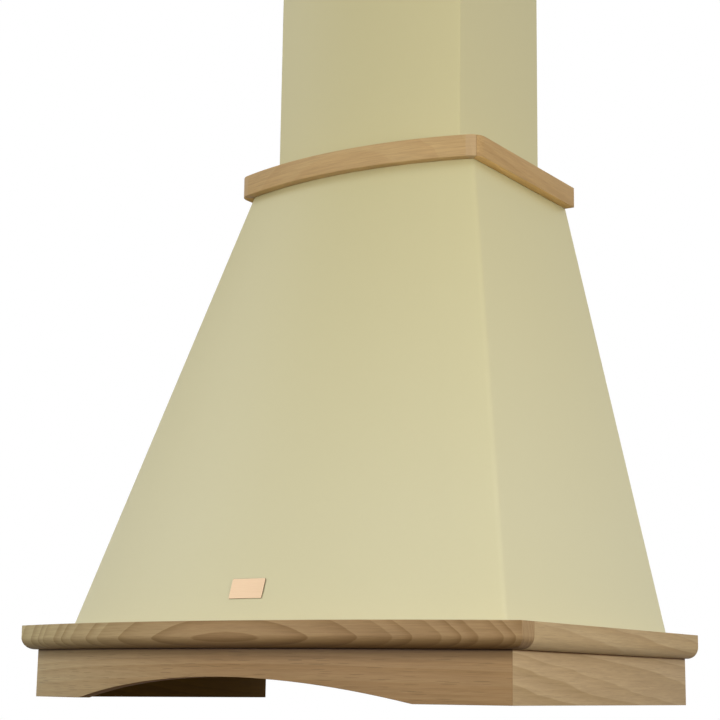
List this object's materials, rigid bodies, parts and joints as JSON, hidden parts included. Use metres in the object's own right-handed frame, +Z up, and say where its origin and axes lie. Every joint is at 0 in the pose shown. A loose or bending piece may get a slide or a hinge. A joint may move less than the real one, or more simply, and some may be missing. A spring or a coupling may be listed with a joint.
{
  "type": "range hood",
  "caption": "Wall-hung dome range hood with a bowed beech frame and belt, cream painted steel dome, telescopic duct cover, blower, filters, lamps and switches.",
  "frame": {"origin": "centre of the four hanging holes, on the wall", "axes": "+X to the hood's right seen from the front, +Y into the wall, +Z up"},
  "size_m": [0.6, 0.4675, 1.0422],
  "materials": {
    "wood": "unfinished sanded beech",
    "cream_paint": "satin cream paint on sheet steel",
    "zinc": "galvanised sheet",
    "copper": "polished, copper-toned, bare",
    "filter_aluminium": "plain aluminium mesh and frame",
    "dark_plastic": "fine matt",
    "grey_plastic": "matt",
    "motor_steel": "black enamel",
    "lamp_chrome": "satin chrome",
    "lamp_glass": "frosted"
  },
  "bodies": {
    "hood": {"front_apron": "wood", "left_apron": "wood", "right_apron": "wood", "corner_blocks": "wood", "front_cornice": "wood", "left_cornice": "wood", "right_cornice": "wood", "rear_rail": "wood", "dome_shell": "cream_paint", "front_belt": "wood", "left_belt": "wood", "right_belt": "wood", "lower_chimney": "cream_paint", "chimney_bracket": "zinc", "nameplate": "copper", "back_panel": "zinc", "base_pan": "cream_paint", "left_lamp": "lamp_chrome", "left_lens": "lamp_glass", "right_lamp": "lamp_chrome", "right_lens": "lamp_glass", "switch_box": "dark_plastic", "scroll_casing": "zinc", "motor": "motor_steel", "blower_bracket": "zinc", "duct_collar": "dark_plastic", "junction_box": "grey_plastic", "box_lid": "grey_plastic", "cable_gland": "dark_plastic", "dome_screws": "zinc", "pan_screws": "zinc", "panel_screws": "zinc", "chimney_screws": "zinc", "blower_screws": "zinc"},
    "upper_cover": {"upper_chimney": "cream_paint", "upper_bracket": "zinc"},
    "left_filter": {"left_filter": "filter_aluminium", "left_filter_mesh": "filter_aluminium"},
    "left_catch": {"left_latch": "dark_plastic"},
    "right_filter": {"right_filter": "filter_aluminium", "right_filter_mesh": "filter_aluminium"},
    "right_catch": {"right_latch": "dark_plastic"},
    "fan_wheel": {"impeller": "dark_plastic"},
    "front_flap": {"front_flap": "grey_plastic"},
    "rear_flap": {"rear_flap": "grey_plastic"},
    "light_button": {"light_button": "dark_plastic"},
    "stop_button": {"stop_button": "dark_plastic"},
    "low_button": {"low_button": "dark_plastic"},
    "medium_button": {"medium_button": "dark_plastic"},
    "high_button": {"high_button": "dark_plastic"}
  },
  "joints": [
    {"name": "upper_cover_slide", "type": "slide", "parent": "hood", "child": "upper_cover", "axis": [0, 0, 1], "range_m": [0, 0.3]},
    {"name": "left_filter_hinge", "type": "hinge", "parent": "hood", "child": "left_filter", "pos_m": [-0.105, -0.048, -0.281], "axis": [1, 0, 0], "range_deg": [0, 60]},
    {"name": "left_catch_slide", "type": "slide", "parent": "left_filter", "child": "left_catch", "axis": [0, 1, 0], "range_m": [0, 0.004], "stiffness_N_per_m": 400, "springref_m": -0.002},
    {"name": "right_filter_hinge", "type": "hinge", "parent": "hood", "child": "right_filter", "pos_m": [0.105, -0.048, -0.281], "axis": [1, 0, 0], "range_deg": [0, 60]},
    {"name": "right_catch_slide", "type": "slide", "parent": "right_filter", "child": "right_catch", "axis": [0, 1, 0], "range_m": [0, 0.004], "stiffness_N_per_m": 400, "springref_m": -0.002},
    {"name": "light_button_press", "type": "slide", "parent": "hood", "child": "light_button", "axis": [0, 0, 1], "range_m": [0, 0.003], "stiffness_N_per_m": 400, "springref_m": -0.002},
    {"name": "stop_button_press", "type": "slide", "parent": "hood", "child": "stop_button", "axis": [0, 0, 1], "range_m": [0, 0.003], "stiffness_N_per_m": 400, "springref_m": -0.002},
    {"name": "low_button_press", "type": "slide", "parent": "hood", "child": "low_button", "axis": [0, 0, 1], "range_m": [0, 0.003], "stiffness_N_per_m": 400, "springref_m": -0.002},
    {"name": "medium_button_press", "type": "slide", "parent": "hood", "child": "medium_button", "axis": [0, 0, 1], "range_m": [0, 0.003], "stiffness_N_per_m": 400, "springref_m": -0.002},
    {"name": "high_button_press", "type": "slide", "parent": "hood", "child": "high_button", "axis": [0, 0, 1], "range_m": [0, 0.003], "stiffness_N_per_m": 400, "springref_m": -0.002},
    {"name": "fan_spin", "type": "hinge", "parent": "hood", "child": "fan_wheel", "pos_m": [0, -0.16, 0.09], "axis": [1, 0, 0], "continuous": true},
    {"name": "rear_flap_hinge", "type": "hinge", "parent": "hood", "child": "rear_flap", "pos_m": [0, -0.115, 0.246], "axis": [1, 0, 0], "range_deg": [0, 80]},
    {"name": "front_flap_hinge", "type": "hinge", "parent": "hood", "child": "front_flap", "pos_m": [0, -0.115, 0.246], "axis": [-1, 0, 0], "range_deg": [0, 80]}
  ]
}
